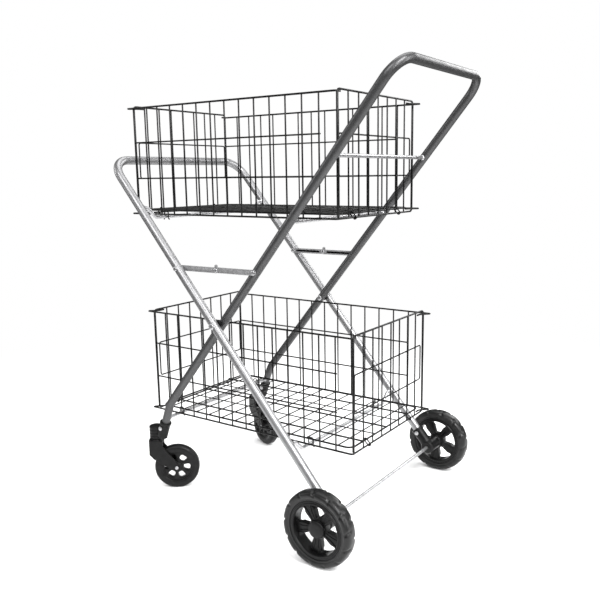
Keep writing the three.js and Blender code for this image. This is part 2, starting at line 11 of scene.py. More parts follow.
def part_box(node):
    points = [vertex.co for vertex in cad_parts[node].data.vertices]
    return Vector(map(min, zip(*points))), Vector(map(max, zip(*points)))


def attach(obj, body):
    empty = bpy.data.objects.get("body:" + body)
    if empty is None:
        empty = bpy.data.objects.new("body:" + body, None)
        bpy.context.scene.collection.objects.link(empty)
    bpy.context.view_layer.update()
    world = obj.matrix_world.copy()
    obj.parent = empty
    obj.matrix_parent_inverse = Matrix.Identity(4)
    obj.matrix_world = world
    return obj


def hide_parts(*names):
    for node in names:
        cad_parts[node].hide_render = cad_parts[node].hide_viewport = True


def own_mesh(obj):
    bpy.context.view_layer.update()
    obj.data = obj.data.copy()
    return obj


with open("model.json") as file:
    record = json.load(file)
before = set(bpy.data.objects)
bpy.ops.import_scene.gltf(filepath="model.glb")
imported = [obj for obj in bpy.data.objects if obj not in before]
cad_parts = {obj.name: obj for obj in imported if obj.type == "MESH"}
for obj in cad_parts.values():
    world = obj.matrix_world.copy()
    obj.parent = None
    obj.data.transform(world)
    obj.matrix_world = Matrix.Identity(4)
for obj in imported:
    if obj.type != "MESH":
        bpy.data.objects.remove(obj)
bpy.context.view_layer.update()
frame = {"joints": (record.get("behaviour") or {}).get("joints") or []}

MM = 0.001
SIDES = (("left", -1), ("right", 1))
JOINTS = {joint["name"]: joint for joint in frame["joints"]}


# ---- places taken from the frame, in millimetres ----
def cad_box(node):
    low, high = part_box(node)
    return low / MM, high / MM


def cad_middle(node):
    low, high = cad_box(node)
    return (low + high) / 2


def joint_place(name):
    return Vector(JOINTS[name]["pos_m"]) / MM


TUBE_RADIUS = 9.5
BEND_RADIUS = 50
ROD_RADIUS = 4
PIVOT = joint_place("frame_fold")
AXLE = joint_place("rear_wheel_spin_right")


def at_y(point, y):
    return Vector((point.x, y, point.z))


# ---- solids: a part is a list of corners and a list of faces ----
class Part:
    def __init__(self, corners, faces):
        self.corners = [Vector(corner) for corner in corners]
        self.faces = faces

    def moved(self, matrix):
        return Part([matrix @ corner for corner in self.corners], self.faces)

    def shifted(self, x=0.0, y=0.0, z=0.0):
        return self.moved(Matrix.Translation((x, y, z)))

    def mirrored(self):
        """The same part on the other side of the plane Y = 0."""
        corners = [(c.x, -c.y, c.z) for c in self.corners]
        return Part(corners, [tuple(reversed(face)) for face in self.faces])


def joined(parts):
    corners, faces = [], []
    for part in parts:
        start = len(corners)
        corners.extend(part.corners)
        faces.extend(tuple(start + i for i in face) for face in part.faces)
    return Part(corners, faces)


def from_bmesh(mesh):
    mesh.verts.ensure_lookup_table()
    mesh.verts.index_update()
    corners = [v.co.copy() for v in mesh.verts]
    faces = [tuple(v.index for v in face.verts) for face in mesh.faces]
    mesh.free()
    return Part(corners, faces)


def arc(centre, radius, start, end, steps):
    """Points on an arc in the plane, with the angles in degrees."""
    points = []
    for i in range(steps + 1):
        angle = math.radians(start + (end - start) * i / steps)
        points.append((centre[0] + radius * math.cos(angle), centre[1] + radius * math.sin(angle)))
    return points


def rounded(corners, radius, steps=6, closed=False):
    """A polyline, in two or three dimensions, with each corner replaced by an arc."""
    points = [Vector(corner).to_3d() for corner in corners]
    count = len(points)
    path = []
    for i, corner in enumerate(points):
        if not closed and i in (0, count - 1):
            path.append(corner)
            continue
        before = (points[i - 1] - corner).normalized()
        after = (points[(i + 1) % count] - corner).normalized()
        half_angle = before.angle(after) / 2
        reach = min((points[i - 1] - corner).length, (points[(i + 1) % count] - corner).length) * 0.49
        setback = min(radius / math.tan(half_angle), reach)
        bend = setback * math.tan(half_angle)
        inward = (before + after).normalized()
        centre = corner + inward * (setback / math.cos(half_angle))
        sweep_angle = math.pi - 2 * half_angle
        start = corner + before * setback - centre
        normal = start.cross(corner + after * setback - centre).normalized()
        for step in range(steps + 1):
            turn = Matrix.Rotation(sweep_angle * step / steps, 3, normal)
            path.append(centre + turn @ (start.normalized() * bend))
    return path


def flat(path):
    return [(point.x, point.y) for point in path]


def sweep(path, radius, sides=12, closed=False):
    """A round bar along a path. An open bar has slightly rounded ends."""
    points = [Vector(point) for point in path]
    count = len(points)
    stations = []
    for i, point in enumerate(points):
        before = points[i - 1] if closed or i > 0 else point
        after = points[(i + 1) % count] if closed or i < count - 1 else point
        stations.append((point, (after - before).normalized(), radius))
    if not closed:
        first, last = stations[0], stations[-1]
        edge = radius * 0.35
        stations[0] = (first[0] + first[1] * edge, first[1], radius)
        stations[-1] = (last[0] - last[1] * edge, last[1], radius)
        stations.insert(0, (first[0], first[1], radius - edge))
        stations.append((last[0], last[1], radius - edge))
    normal = stations[0][1].orthogonal().normalized()
    corners = []
    for point, tangent, size in stations:
        normal = (normal - tangent * normal.dot(tangent)).normalized()
        side = tangent.cross(normal)
        for k in range(sides):
            angle = 2 * math.pi * k / sides
            corners.append(point + (normal * math.cos(angle) + side * math.sin(angle)) * size)
    rings = len(stations)
    faces = []
    for i in range(rings if closed else rings - 1):
        for k in range(sides):
            a, b = i * sides, ((i + 1) % rings) * sides
            faces.append((a + k, a + (k + 1) % sides, b + (k + 1) % sides, b + k))
    if not closed:
        faces.append(tuple(reversed(range(sides))))
        faces.append(tuple((rings - 1) * sides + k for k in range(sides)))
    return Part(corners, faces)


def lathe(profile, segments=48, closed=False):
    """Turns a profile of (radius, y) about the Y axis. An open profile starts and ends on the axis."""
    corners, faces, rings = [], [], []
    for r, y in profile:
        if r < 1e-6:
            rings.append([len(corners)] * segments)
            corners.append((0, y, 0))
            continue
        rings.append([len(corners) + k for k in range(segments)])
        for k in range(segments):
            angle = 2 * math.pi * k / segments
            corners.append((r * math.sin(angle), y, r * math.cos(angle)))
    pairs = list(zip(rings, rings[1:]))
    if closed:
        pairs.append((rings[-1], rings[0]))
    for lower, upper in pairs:
        for k in range(segments):
            following = (k + 1) % segments
            face = (lower[k], lower[following], upper[following], upper[k])
            faces.append(tuple(dict.fromkeys(face)))
    return Part(corners, faces)


def plate(outline, holes, thickness, bevel=0.5):
    """A flat plate in the XZ plane, centred on Y = 0, with softened edges."""
    mesh = bmesh.new()
    for loop in (outline, *holes):
        corners = [mesh.verts.new((x, -thickness / 2, z)) for x, z in loop]
        for a, b in zip(corners, corners[1:] + corners[:1]):
            mesh.edges.new((a, b))
    bmesh.ops.triangle_fill(mesh, use_beauty=True, edges=mesh.edges[:])
    front = bmesh.ops.extrude_face_region(mesh, geom=mesh.faces[:])["geom"]
    moved = [item for item in front if isinstance(item, bmesh.types.BMVert)]
    bmesh.ops.translate(mesh, verts=moved, vec=(0, thickness, 0))
    bmesh.ops.recalc_face_normals(mesh, faces=mesh.faces[:])
    limit = math.radians(50)
    sharp = [edge for edge in mesh.edges if edge.is_manifold and edge.calc_face_angle() > limit]
    bmesh.ops.bevel(mesh, geom=sharp, offset=bevel, offset_type="OFFSET", segments=2, profile=0.5,
                    affect="EDGES", clamp_overlap=True)
    return from_bmesh(mesh)


def to_mesh(name, part, scale=1.0):
    mesh = bpy.data.meshes.new(name)
    mesh.from_pydata([corner * scale for corner in part.corners], [], part.faces)
    mesh.validate()
    return mesh


def moulded(parts, voxel=0.8, smoothing=6, keep=0.5):
    """One moulded body from closed parts that run into each other, with soft fillets where they meet."""
    mesh = to_mesh("moulded", joined(parts))
    body = bpy.data.objects.new("moulded", mesh)
    bpy.context.scene.collection.objects.link(body)
    remesh = body.modifiers.new("remesh", "REMESH")
    remesh.mode = "VOXEL"
    remesh.voxel_size = voxel
    smooth = body.modifiers.new("smooth", "SMOOTH")
    smooth.factor = 0.5
    smooth.iterations = smoothing
    decimate = body.modifiers.new("decimate", "DECIMATE")
    decimate.ratio = keep
    evaluated = body.evaluated_get(bpy.context.evaluated_depsgraph_get())
    result = bpy.data.meshes.new_from_object(evaluated)
    part = Part([v.co.copy() for v in result.vertices], [tuple(p.vertices) for p in result.polygons])
    bpy.data.objects.remove(body)
    return part


def piece(name, part, look, body, nodes=(), sharp_angle=40):
    """Makes the named piece from a part, puts its material on and lets it ride on the body."""
    mesh = to_mesh(name, part, MM)
    mesh.materials.append(look)
    mesh.polygons.foreach_set("use_smooth", [True] * len(mesh.polygons))
    mesh.set_sharp_from_angle(angle=math.radians(sharp_angle))
    mesh.update()
    made = bpy.data.objects.new(name, mesh)
    bpy.context.scene.collection.objects.link(made)
    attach(made, body)
    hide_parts(*nodes)
    return made


# ---- materials ----
class Look:
    """A node material that is put together step by step around one Principled shader."""

    def __init__(self, name):
        self.material = bpy.data.materials.new(name)
        self.material["slot"] = name
        self.material.use_nodes = True
        self.nodes = self.material.node_tree.nodes
        self.links = self.material.node_tree.links
        self.shader = self.nodes["Principled BSDF"]
        self.place = self.nodes.new("ShaderNodeTexCoord").outputs["Object"]
        self.height = None

    def noise(self, scale, detail=3.0, roughness=0.5, stretch=None):
        texture = self.nodes.new("ShaderNodeTexNoise")
        texture.inputs["Scale"].default_value = scale
        texture.inputs["Detail"].default_value = detail
        texture.inputs["Roughness"].default_value = roughness
        place = self.place
        if stretch:
            mapping = self.nodes.new("ShaderNodeMapping")
            mapping.inputs["Scale"].default_value = stretch
            self.links.new(place, mapping.inputs["Vector"])
            place = mapping.outputs["Vector"]
        self.links.new(place, texture.inputs["Vector"])
        return texture.outputs["Fac"]

    def speckle(self, scale):
        texture = self.nodes.new("ShaderNodeTexVoronoi")
        texture.inputs["Scale"].default_value = scale
        self.links.new(self.place, texture.inputs["Vector"])
        return texture.outputs["Distance"]

    def ramp(self, value, low, high, start=0.35, end=0.65):
        ramp = self.nodes.new("ShaderNodeMapRange")
        ramp.clamp = True
        ramp.inputs["From Min"].default_value = start
        ramp.inputs["From Max"].default_value = end
        ramp.inputs["To Min"].default_value = low
        ramp.inputs["To Max"].default_value = high
        self.links.new(value, ramp.inputs["Value"])
        return ramp.outputs["Result"]

    def colour(self, dark, light, factor):
        mix = self.nodes.new("ShaderNodeMix")
        mix.data_type = "RGBA"
        mix.inputs["A"].default_value = (*dark, 1)
        mix.inputs["B"].default_value = (*light, 1)
        self.links.new(factor, mix.inputs["Factor"])
        self.links.new(mix.outputs["Result"], self.shader.inputs["Base Color"])

    def tint(self, colour, factor):
        """Mixes one more colour over the base colour that is already linked."""
        under = self.shader.inputs["Base Color"].links[0].from_socket
        mix = self.nodes.new("ShaderNodeMix")
        mix.data_type = "RGBA"
        self.links.new(under, mix.inputs["A"])
        mix.inputs["B"].default_value = (*colour, 1)
        self.links.new(factor, mix.inputs["Factor"])
        self.links.new(mix.outputs["Result"], self.shader.inputs["Base Color"])

    def finish(self, metallic, roughness, specular=0.5):
        self.shader.inputs["Metallic"].default_value = metallic
        self.shader.inputs["Specular IOR Level"].default_value = specular
        if isinstance(roughness, float):
            self.shader.inputs["Roughness"].default_value = roughness
        else:
            self.links.new(roughness, self.shader.inputs["Roughness"])

    def bump(self, value, strength, distance_mm):
        bump = self.nodes.new("ShaderNodeBump")
        bump.inputs["Strength"].default_value = strength
        bump.inputs["Distance"].default_value = distance_mm * MM
        self.links.new(value, bump.inputs["Height"])
        if self.height is not None:
            self.links.new(self.height, bump.inputs["Normal"])
        self.height = bump.outputs["Normal"]
        self.links.new(self.height, self.shader.inputs["Normal"])


def grey(value):
    return (value, value, value * 1.02)


def dark_frame_paint():
    """Hammered dark grey powder coat."""
    look = Look("dark_frame_paint")
    look.colour(grey(0.06), grey(0.105), look.ramp(look.noise(900, 4), 0, 1, 0.38, 0.62))
    look.tint(grey(0.16), look.ramp(look.noise(1800, 2), 0, 0.4, 0.6, 0.75))
    look.finish(0.65, look.ramp(look.noise(60, 3), 0.32, 0.42), 0.4)
    look.bump(look.noise(700, 3), 0.12, 0.12)
    look.bump(look.noise(2400, 2), 0.1, 0.05)
    return look.material


def light_frame_paint():
    """Silver grey metallic paint with a fine grain."""
    look = Look("light_frame_paint")
    look.colour(grey(0.29), grey(0.35), look.ramp(look.noise(1400, 4), 0, 1))
    look.tint(grey(0.22), look.ramp(look.noise(35, 5, 0.6), 0, 0.3, 0.55, 0.8))
    look.finish(0.8, look.ramp(look.noise(80, 3), 0.34, 0.42), 0.4)
    look.bump(look.noise(1800, 2), 0.05, 0.04)
    return look.material


def zinc():
    """Bright zinc plate, drawn along the rods and slightly cloudy."""
    look = Look("zinc")
    look.colour(grey(0.42), grey(0.6), look.ramp(look.noise(120, 4, 0.6), 0, 1))
    look.tint(grey(0.25), look.ramp(look.noise(700, 3), 0, 0.5, 0.58, 0.75))
    look.finish(0.9, look.ramp(look.noise(200, 3), 0.26, 0.42))
    look.bump(look.noise(900, 3, 0.6, (6, 0.3, 6)), 0.25, 0.06)
    return look.material


def stay_steel():
    """Duller, darker plated steel for the stays."""
    look = Look("stay_steel")
    look.colour(grey(0.24), grey(0.34), look.ramp(look.noise(150, 4, 0.6), 0, 1))
    look.tint(grey(0.42), look.ramp(look.noise(900, 3), 0, 0.4, 0.6, 0.78))
    look.finish(0.4, look.ramp(look.noise(200, 3), 0.34, 0.48))
    look.bump(look.noise(900, 3, 0.6), 0.2, 0.06)
    return look.material


def black_wire():
    """Glossy black dip coating that pools a little along the wire."""
    look = Look("black_wire")
    look.colour(grey(0.002), grey(0.005), look.ramp(look.noise(300, 4), 0, 1))
    look.tint(grey(0.015), look.ramp(look.noise(1600, 2), 0, 0.4, 0.62, 0.8))
    look.finish(0.0, look.ramp(look.noise(150, 3), 0.28, 0.4), 0.22)
    look.bump(look.noise(260, 3), 0.12, 0.15)
    look.bump(look.noise(1500, 2), 0.06, 0.04)
    return look.material


def black_plastic():
    """Moulded black plastic with a fine spark-eroded grain."""
    look = Look("black_plastic")
    look.colour(grey(0.003), grey(0.007), look.ramp(look.noise(90, 5, 0.6), 0, 1))
    look.tint(grey(0.018), look.ramp(look.noise(500, 4, 0.7), 0, 0.35, 0.58, 0.8))
    look.finish(0.0, look.ramp(look.noise(220, 3), 0.3, 0.44), 0.2)
    look.bump(look.speckle(1300), 0.14, 0.07)
    look.bump(look.noise(60, 3), 0.15, 0.3)
    return look.material


def tyre_rubber():
    """Dull rubber, dusty on the tread."""
    look = Look("tyre_rubber")
    look.colour(grey(0.004), grey(0.009), look.ramp(look.noise(70, 5, 0.65), 0, 1))
    look.tint(grey(0.03), look.ramp(look.noise(420, 4, 0.7), 0, 0.3, 0.56, 0.8))
    look.finish(0.0, look.ramp(look.noise(160, 4), 0.28, 0.42), 0.34)
    look.bump(look.noise(1100, 3), 0.2, 0.06)
    return look.material


def caster_rubber():
    """Harder, smoother rubber than the rear tyres'."""
    look = Look("caster_rubber")
    look.colour(grey(0.003), grey(0.008), look.ramp(look.noise(110, 4, 0.6), 0, 1))
    look.tint(grey(0.02), look.ramp(look.noise(600, 3, 0.7), 0, 0.35, 0.58, 0.8))
    look.finish(0.0, look.ramp(look.noise(180, 3), 0.32, 0.46), 0.22)
    look.bump(look.noise(900, 2), 0.18, 0.07)
    return look.material


DARK_PAINT = dark_frame_paint()
LIGHT_PAINT = light_frame_paint()
ZINC = zinc()
STAY_STEEL = stay_steel()
WIRE_COAT = black_wire()
PLASTIC = black_plastic()
RUBBER = tyre_rubber()
CASTER_RUBBER = caster_rubber()


# ---- the two tube frames ----
def leg_line(start, end):
    """Direction of a leg in the side view."""
    return at_y(end - start, 0).normalized()


def crossing(point_a, direction_a, point_b, direction_b):
    """Where two lines in the side view meet."""
    across = direction_a.x * direction_b.z - direction_a.z * direction_b.x
    gap = point_b - point_a
    along = (gap.x * direction_b.z - gap.z * direction_b.x) / across
    return point_a + direction_a * along


_, HANDLE_HIGH = cad_box("handle_frame_tube")
HANDLE_BAR = Vector((HANDLE_HIGH.x - TUBE_RADIUS, 0, HANDLE_HIGH.z - TUBE_RADIUS))
WHEEL_LOW, WHEEL_HIGH = cad_box("wheel_frame_tube")
CROSSBAR = Vector((WHEEL_LOW.x + TUBE_RADIUS, 0, WHEEL_HIGH.z - TUBE_RADIUS))
INNER_LEG_Y = HANDLE_HIGH.y - TUBE_RADIUS
OUTER_LEG_Y = WHEEL_HIGH.y - TUBE_RADIUS
HANDLE_LEG = leg_line(PIVOT, HANDLE_BAR)
WHEEL_LEG = leg_line(AXLE, CROSSBAR)
SOCKET_RIVET = cad_middle("socket_rivet_left")
LOWER_ROD = cad_middle("lower_front_rod")
LOWER_LEG = leg_line(SOCKET_RIVET, LOWER_ROD)
LOWER_BEND = crossing(PIVOT, HANDLE_LEG, LOWER_ROD, LOWER_LEG)


def u_frame(half, y):
    """A tube that runs up one leg, across the top and down the other, mirrored about Y = 0."""
    path = [at_y(point, -y) for point in half] + [at_y(point, y) for point in reversed(half)]
    return sweep(rounded(path, BEND_RADIUS, 12), TUBE_RADIUS, 36)


def weld(point, outward):
    """The bead where a rod is welded to a tube; outward is the side that the rod leaves towards, along Y."""
    r = ROD_RADIUS
    bead = lathe([(r - 0.4, 0), (r + 1.8, 0), (r + 1.5, 0.9), (r + 0.5, 2), (r - 0.4, 2.6)], 24, closed=True)
    return (bead if outward > 0 else bead.mirrored()).moved(Matrix.Translation(point))


def straight_rod(node):
    low, high = cad_box(node)
    middle = (low + high) / 2
    ends = at_y(middle, low.y), at_y(middle, high.y)
    return joined([sweep(ends, ROD_RADIUS, 24), weld(ends[0], 1), weld(ends[1], -1)])


def cranked_rod(node):
    """A rod whose ends are stepped up to the legs, so that its middle passes under a basket."""
    low, high = cad_box(node)
    x = (low.x + high.x) / 2
    top, bottom = high.z - ROD_RADIUS, low.z + ROD_RADIUS
    step = [(low.y, top), (low.y + 10, top), (low.y + 35, bottom)]
    half = [Vector((x, y, z)) for y, z in step]
    path = half + [at_y(point, -point.y) for point in reversed(half)]
    bar = sweep(rounded(path, 10, 8), ROD_RADIUS, 24)
    return joined([bar, weld(half[0], 1), weld(at_y(half[0], high.y), -1)])


def domed(radius, height, segments=28):
    """A dome on the XZ plane that rises along +Y, with a thin straight rim."""
    rim = 0.35 * height
    dome = [(radius * math.cos(math.radians(a)), rim + (height - rim) * math.sin(math.radians(a)))
            for a in range(0, 91, 15)]
    return lathe([(0, 0), (radius, 0), *dome[:-1], (0, height)], segments)


def rivet(node, dome=0.42):
    """A round-headed rivet along Y over the whole length of its CAD node, on its own axis."""
    low, high = cad_box(node)
    middle = (low + high) / 2
    radius = (high.z - low.z) / 2
    height = radius * dome
    head = domed(radius, height)
    shank = sweep([(0, low.y + height / 2, 0), (0, high.y - height / 2, 0)], radius * 0.48, 16)
    parts = [head.shifted(y=high.y - height), head.mirrored().shifted(y=low.y + height), shank]
    return joined(parts).shifted(middle.x, 0, middle.z)


def ring(node, hole):
    """A plain bush along Y that fills its CAD node's box."""
    low, high = cad_box(node)
    middle = (low + high) / 2
    outer = (high.z - low.z) / 2
    soft = 0.6
    profile = [(hole, low.y), (outer - soft, low.y), (outer, low.y + soft), (outer, high.y - soft),
               (outer - soft, high.y), (hole, high.y)]
    return lathe(profile, 32, closed=True).shifted(middle.x, 0, middle.z)


def tilted_sleeve(bottom, top, profile_radius, lip=1.2, lip_height=5):
    """A closed sleeve round a leg from one point to another, with a lip round its upper end."""
    direction = (top - bottom).normalized()
    length = (top - bottom).length
    r = profile_radius
    profile = [(0, 0), (r - 1.5, 0), (r, 1.5), (r, length - lip_height - 1), (r + lip, length - lip_height),
               (r + lip, length - 0.8), (r + lip - 0.8, length), (0, length)]
    turn = Vector((0, 1, 0)).rotation_difference(direction).to_matrix().to_4x4()
    return lathe(profile, 48).moved(Matrix.Translation(bottom) @ turn)


def axle_bracket(side_name, s):
    """Sleeve on the leg's end, the boss that holds the axle, and a web that ties them together."""
    low, high = cad_box(f"axle_bracket_{side_name}")
    leg_y = OUTER_LEG_Y
    top_centre = AXLE + WHEEL_LEG * 52
    sleeve = tilted_sleeve(at_y(AXLE - WHEEL_LEG * 3, leg_y), at_y(top_centre, leg_y), 13.4)
    inner = min(abs(low.y), abs(high.y))
    outer = max(abs(low.y), abs(high.y))
    boss = lathe([(0, inner), (13, inner), (15.5, inner + 2.5), (15.5, outer - 2), (14, outer), (0, outer)],
                 40)
    boss = boss.shifted(AXLE.x, 0, AXLE.z)
    knuckle = lathe([(0, -13), (12, -13), (15.5, -9), (15.5, 9), (12, 13), (0, 13)], 40)
    knuckle = knuckle.shifted(AXLE.x, leg_y, AXLE.z)
    part = moulded([sleeve, boss, knuckle], 0.9, 5, 0.35)
    return part if s > 0 else part.mirrored()


def add_frames():
    wheel_end = AXLE + WHEEL_LEG * 19
    piece("wheel_frame_tube_shell", u_frame([wheel_end, CROSSBAR], OUTER_LEG_Y), LIGHT_PAINT,
          "wheel_frame", ["wheel_frame_tube"])
    handle_end = SOCKET_RIVET - LOWER_LEG * 20
    piece("handle_frame_tube_shell", u_frame([handle_end, LOWER_BEND, HANDLE_BAR], INNER_LEG_Y), DARK_PAINT,
          "handle_frame", ["handle_frame_tube"])
    for node in ("back_rest_rod", "upper_rear_rod", "lower_front_rod"):
        piece(f"{node}_bar", straight_rod(node), ZINC, "handle_frame", [node])
    for node in ("upper_front_rod", "lower_rear_rod"):
        piece(f"{node}_bar", cranked_rod(node), ZINC, "wheel_frame", [node])
    low, high = cad_box("rear_axle")
    axle = sweep([at_y(AXLE, low.y), at_y(AXLE, high.y)], ROD_RADIUS, 24)
    piece("rear_axle_bar", axle, ZINC, "wheel_frame", ["rear_axle"])
    for side, s in SIDES:
        piece(f"axle_bracket_{side}_moulding", axle_bracket(side, s), PLASTIC, "wheel_frame",
              [f"axle_bracket_{side}"])
        for node in (f"bracket_rivet_{side}", f"frame_pivot_pin_{side}", f"stay_pivot_rivet_{side}"):
            piece(f"{node}_head", rivet(node), ZINC, "wheel_frame", [node])
        spacer = ring(f"pivot_spacer_{side}", 3.3)
        piece(f"pivot_spacer_{side}_bush", spacer, PLASTIC, "wheel_frame", [f"pivot_spacer_{side}"])
        piece(f"socket_rivet_{side}_head", rivet(f"socket_rivet_{side}"), ZINC, "handle_frame",
              [f"socket_rivet_{side}"])


# ---- stays ----
def stay(node, knee_end):
    """A pressed flat link with a long rib, and a stop tab at its knee end when that is asked for."""
    low, high = cad_box(node)
    s = 1 if low.y > 0 else -1
    face = max(abs(low.y), abs(high.y))
    thickness = high.y - low.y
    front = joint_place(f"front_stay_fold_{'right' if s > 0 else 'left'}")
    knee = joint_place(f"rear_stay_fold_{'right' if s > 0 else 'left'}")
    start = front if node.startswith("front") else knee
    end = start + (knee - front)
    length = at_y(end - start, 0).length
    half = 6
    outline = arc((0, 0), half, 90, 270, 10) + arc((length, 0), half, -90, 90, 10)
    bar = plate(outline, [], thickness - 0.9, 0.4).shifted(y=-0.45)
    rib = plate(arc((14, 0), 2.6, 90, 270, 8) + arc((length - 14, 0), 2.6, -90, 90, 8), [], thickness, 0.4)
    parts = [bar, rib]
    if knee_end:
        tab_outline = [(length - 4, 2), (length + 5, 2), (length + 5, 11), (length + 1, 12.5),
                       (length - 3, 11)]
        tab = plate(tab_outline, [], thickness - 1, 0.4)
        parts.append(tab)
    tilt = math.atan2(end.z - start.z, end.x - start.x)
    turn = Matrix.Rotation(-tilt, 4, "Y")
    link = joined(parts)
    if s < 0:
        link = link.mirrored()
    middle_y = s * (face - thickness / 2)
    return link.moved(Matrix.Translation((start.x, middle_y, start.z)) @ turn)


def add_stays():
    for side, _ in SIDES:
        piece(f"front_stay_{side}_link", stay(f"front_stay_{side}", True), STAY_STEEL, f"front_stay_{side}",
              [f"front_stay_{side}"])
        piece(f"rear_stay_{side}_link", stay(f"rear_stay_{side}", False), STAY_STEEL, f"rear_stay_{side}",
              [f"rear_stay_{side}"])
        piece(f"stay_knee_rivet_{side}_head", rivet(f"stay_knee_rivet_{side}"), ZINC, f"front_stay_{side}",
              [f"stay_knee_rivet_{side}"])
        piece(f"stay_end_rivet_{side}_head", rivet(f"stay_end_rivet_{side}"), ZINC, f"rear_stay_{side}",
              [f"stay_end_rivet_{side}"])


# ---- rear wheels, drawn on the Y axis with the outer face towards +Y ----
SPOKES = 5
RIM_RADIUS = 59
TYRE_RADIUS = 77
LUGS = 13
SPOKE_DEPTH = 13
DISC_MIDDLE = -3
WHEEL_TURN = 84.0
WINDOW_INNER = 20
WINDOW_OUTER = 49.5
WINDOW_NARROW = 16.5
WINDOW_WIDE = 25
GROOVE_DEPTH = 2.0
LUG_SEGMENTS = 16


def tyre():
    """A fat tyre with a row of rounded lugs over each shoulder, the two rows set half a lug apart."""
    section = [(RIM_RADIUS + 0.4, -13.5), (61.2, -14.4), (63.2, -14.0), (64.2, -14.8), (67.5, -15.8),
               (70.6, -15.6), (73.4, -14.2), (75.6, -11), (76.7, -7), (TYRE_RADIUS, -3)]
    profile = section + [(r, -y) for r, y in reversed(section)]
    across = rounded([(r, y) for r, y in profile], 0.8, 1, closed=True)
    segments = LUGS * LUG_SEGMENTS
    corners = []
    for k in range(segments):
        for point in across:
            r, y = point.x, point.y
            offset = 0.5 if y > 0 else 0.0
            lean = 0.18 * (r - 67) / 10
            phase = (k / LUG_SEGMENTS + offset + lean) % 1.0
            groove = math.exp(-((phase - 0.5) / 0.07) ** 2)
            shoulder = min(max((r - 65.5) / 5, 0), 1) * min(max((abs(y) - 2.5) / 4, 0), 1)
            depth = GROOVE_DEPTH * groove * shoulder
            turn = 2 * math.pi * k / segments
            corners.append(((r - depth) * math.sin(turn), y - math.copysign(depth * 0.9, y),
                            (r - depth) * math.cos(turn)))
    count = len(across)
    faces = []
    for k in range(segments):
        a, b = k * count, ((k + 1) % segments) * count
        for i in range(count):
            following = (i + 1) % count
            faces.append((a + i, a + following, b + following, b + i))
    return Part(corners, [tuple(reversed(face)) for face in faces])


def window(middle, inner, outer, narrow, wide):
    """The opening between two spokes, in degrees and millimetres: narrow at the hub, wide at the rim."""
    def point(r, angle):
        a = math.radians(middle + angle)
        return (r * math.cos(a), r * math.sin(a))
    bow = outer - (outer - inner) * 0.38
    half = [(inner, narrow), (bow, narrow * 1.15), (outer, wide), (outer + 1.2, wide / 2)]
    corners = [point(r, -angle) for r, angle in half] + [point(outer + 1.6, 0)]
    corners += [point(r, angle) for r, angle in reversed(half)]
    return flat(rounded(corners, 3.2, 3, closed=True))


def spoked_wheel():
    """Five deep spokes with two ribs each, between a hub and a rim with two lips."""
    step = 360 / SPOKES
    windows = [window(WHEEL_TURN + step * i, WINDOW_INNER, WINDOW_OUTER, WINDOW_NARROW, WINDOW_WIDE)
               for i in range(SPOKES)]
    disc = plate(arc((0, 0), 54, 0, 357.5, 143), windows, SPOKE_DEPTH, 1.1).shifted(y=DISC_MIDDLE)
    rim = lathe([(50.5, -13), (51.5, -14.5), (54, -14.5), (55, -13), (57, -13), (RIM_RADIUS, -12.5),
                 (RIM_RADIUS, 12.5), (57, 13), (55, 13), (54, 14.5), (51.5, 14.5), (50.5, 13)],
                144, closed=True)
    hub = lathe([(0, -20), (13, -20), (15, -18), (16.5, -9), (18.5, 2), (17.5, 4), (0, 4)], 64)
    parts = [disc, rim, hub]
    for i in range(SPOKES):
        angle = math.radians(WHEEL_TURN + step * (i + 0.5))
        along = Vector((math.cos(angle), 0, math.sin(angle)))
        aside = Vector((-along.z, 0, along.x))
        for shift in (-1, 1):
            for face in (DISC_MIDDLE - SPOKE_DEPTH / 2, DISC_MIDDLE + SPOKE_DEPTH / 2):
                rib = [along * 17 + aside * (3.4 * shift), along * 34 + aside * (3.8 * shift),
                       along * 51 + aside * (8.5 * shift)]
                parts.append(sweep([p + Vector((0, face, 0)) for p in rounded(rib, 20, 5)], 1.5, 10))
    return joined(parts)


def hub_cap(node):
    """A shallow cap with a straight rim and a slightly crowned face."""
    low, high = cad_box(node)
    height = high.y - low.y
    r = (high.z - low.z) / 2
    profile = [(0, 0), (r - 0.5, 0), (r, 0.5), (r, height * 0.55), (r - 0.9, height * 0.78),
               (r - 2.4, height * 0.88), (r * 0.5, height * 0.97), (0, height)]
    return lathe(profile, 64)


def add_rear_wheels():
    for side, s in SIDES:
        centre = joint_place(f"rear_wheel_spin_{side}")
        body = f"rear_wheel_{side}"

        def put(part):
            return (part if s > 0 else part.mirrored()).shifted(centre.x, centre.y, centre.z)

        piece(f"rear_wheel_{side}_spoked", put(spoked_wheel()), PLASTIC, body, [f"rear_wheel_{side}"], 32)
        piece(f"rear_tyre_{side}_lugged", put(tyre()), RUBBER, body, [f"rear_tyre_{side}"], 60)
        low, high = cad_box(f"hub_cap_{side}")
        base = min(abs(low.y), abs(high.y)) - abs(centre.y)
        cap = hub_cap(f"hub_cap_{side}").shifted(y=base)
        piece(f"hub_cap_{side}_dome", put(cap), PLASTIC, body, [f"hub_cap_{side}"], 50)


# ---- casters, drawn with the swivel axis on Z and the wheel trailing towards +X ----
CASTER_HOLES = 6
FORK_ARM = 4
FORK_INSIDE = 12.5
CROWN_HEIGHT = 13.5
CASTER_HALF_WIDTH = 11
HOLE_OUTLINE = ((15, -5.8), (31, -9.6), (31, 9.6), (15, 5.8))
HOLE_TURN = 0.9
STEM_RADIUS = 5
SOCKET_BARREL_HEIGHT = 30
UPRIGHT = Matrix.Rotation(math.radians(90), 4, "X")


